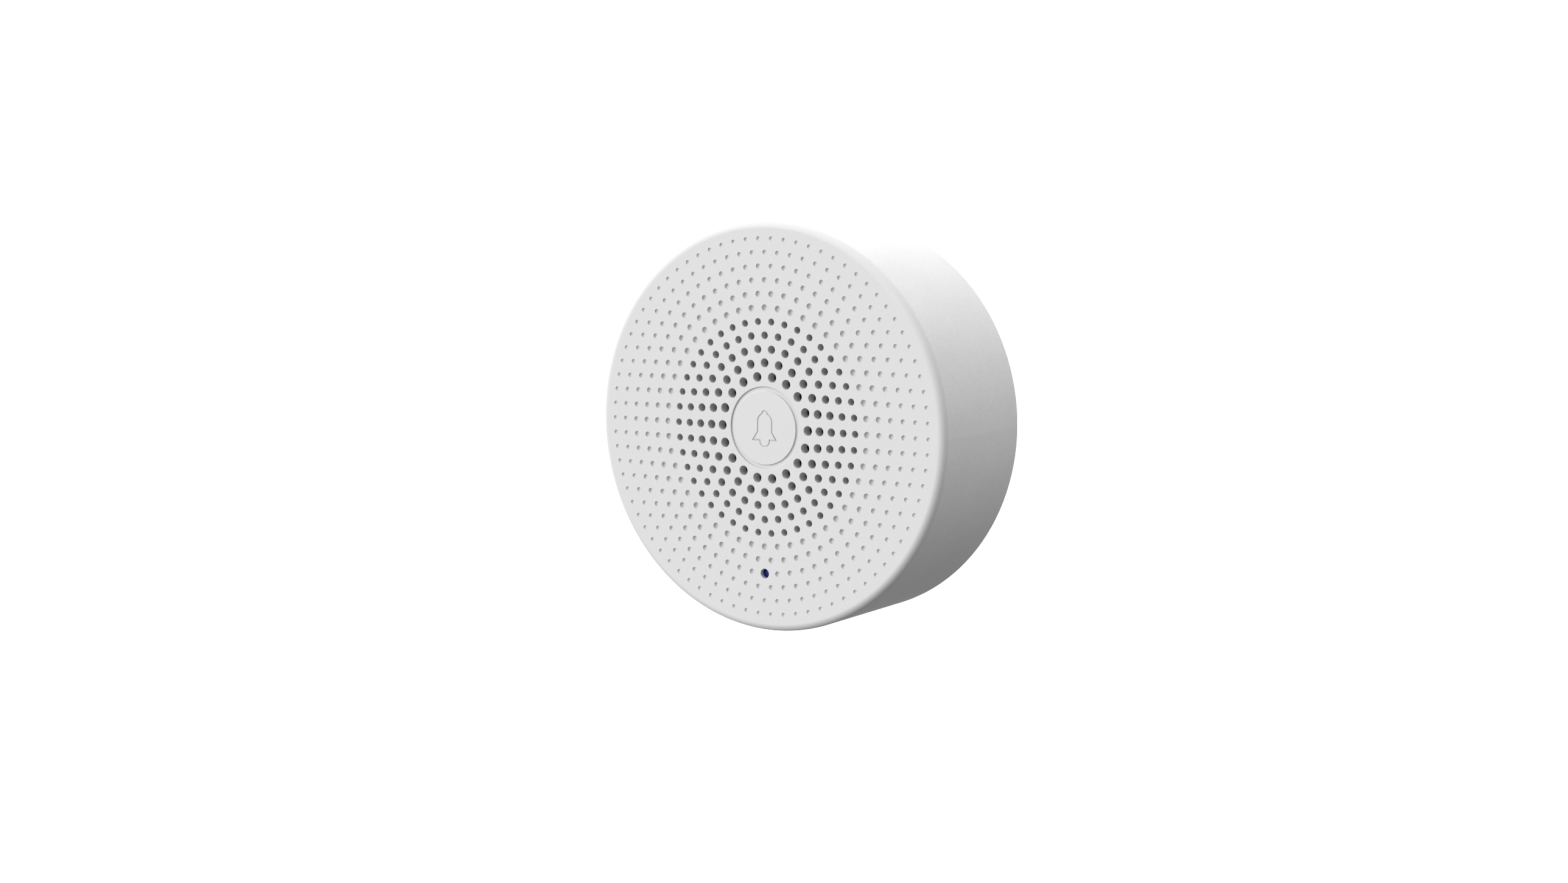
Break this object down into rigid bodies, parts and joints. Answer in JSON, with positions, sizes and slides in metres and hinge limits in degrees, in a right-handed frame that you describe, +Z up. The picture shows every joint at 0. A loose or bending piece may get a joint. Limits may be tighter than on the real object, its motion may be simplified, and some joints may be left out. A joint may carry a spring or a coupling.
{
  "type": "alarm siren",
  "caption": "Round battery siren with a perforated front, a centre press button, a status light and a twist-on wall bracket.",
  "frame": {"origin": "centre of the wall bracket's back face, on the wall plane", "axes": "+Y into the wall, -Y out of the front face, +Z up when mounted, +X to the right seen from the front"},
  "size_m": [0.08, 0.0292, 0.08],
  "materials": {
    "black_plastic": "satin",
    "board_laminate": "satin",
    "bracket_plastic": "matte",
    "brown_plastic": "satin",
    "button_plastic": "matte",
    "capacitor_can": "satin",
    "cell_sleeve": "gloss",
    "chip_epoxy": "matte",
    "cone_film": "satin",
    "contact_brass": "satin",
    "copper_wire": "satin",
    "cover_plastic": "matte",
    "gasket_foam": "matte",
    "gasket_rubber": "matte",
    "grey_plastic": "matte",
    "housing_plastic": "matte",
    "ivory_plastic": "satin",
    "led_resin": "gloss",
    "lens_blue": "gloss",
    "magnet_nickel": "polished",
    "mesh_fabric": "matte",
    "plunger_plastic": "satin",
    "pressed_steel": "satin",
    "screw_steel": "polished",
    "spring_steel": "polished",
    "surround_rubber": "matte",
    "tinned_steel": "satin",
    "wire_black": "satin",
    "wire_red": "satin",
    "zinc_steel": "satin"
  },
  "bodies": {
    "bracket": {"wall_bracket": "bracket_plastic"},
    "siren": {"rear_housing": "housing_plastic", "front_cover": "cover_plastic", "cover_gasket": "gasket_rubber", "acoustic_mesh": "mesh_fabric", "button_guide": "grey_plastic", "tact_switch": "black_plastic", "light_pipe": "lens_blue", "status_led": "led_resin", "main_board": "board_laminate", "microcontroller": "chip_epoxy", "radio_shield": "tinned_steel", "crystal": "tinned_steel", "capacitors": "capacitor_can", "antenna": "copper_wire", "speaker_socket": "ivory_plastic", "speaker_plug": "ivory_plastic", "speaker_wires": "wire_red", "speaker_frame": "pressed_steel", "speaker_yoke": "zinc_steel", "speaker_magnet": "magnet_nickel", "speaker_pole_plate": "zinc_steel", "voice_coil": "copper_wire", "speaker_cone": "cone_film", "speaker_surround": "surround_rubber", "speaker_dust_cap": "cone_film", "speaker_gasket": "gasket_foam", "speaker_retainer": "grey_plastic", "retainer_screws": "screw_steel", "cell_a": "cell_sleeve", "cell_b": "cell_sleeve", "cell_c": "cell_sleeve", "cell_springs": "spring_steel", "cell_contacts": "contact_brass", "red_wire": "wire_red", "black_wire": "wire_black", "tamper_switch": "black_plastic", "tamper_spring": "spring_steel", "tamper_wires": "wire_black", "board_screws": "screw_steel", "cover_screws": "screw_steel"},
    "button": {"bell_button": "button_plastic", "tact_plunger": "brown_plastic"},
    "tamper": {"tamper_plunger": "plunger_plastic"}
  },
  "joints": [
    {"name": "bayonet_twist", "type": "hinge", "parent": "bracket", "child": "siren", "pos_m": [0, -0.01, 0], "axis": [0, -1, 0], "range_deg": [0, 20]},
    {"name": "button_press", "type": "slide", "parent": "siren", "child": "button", "axis": [0, 1, 0], "range_m": [0, 0.0005], "stiffness_N_per_m": 3000, "springref_m": -0.0001},
    {"name": "tamper_release", "type": "slide", "parent": "siren", "child": "tamper", "axis": [0, 1, 0], "range_m": [0, 0.0013], "deforming": ["tamper_spring"]}
  ],
  "couplings": [
    {"joint": "tamper_release", "follows": "bayonet_twist", "m_per_rad": 0.0034377}
  ]
}
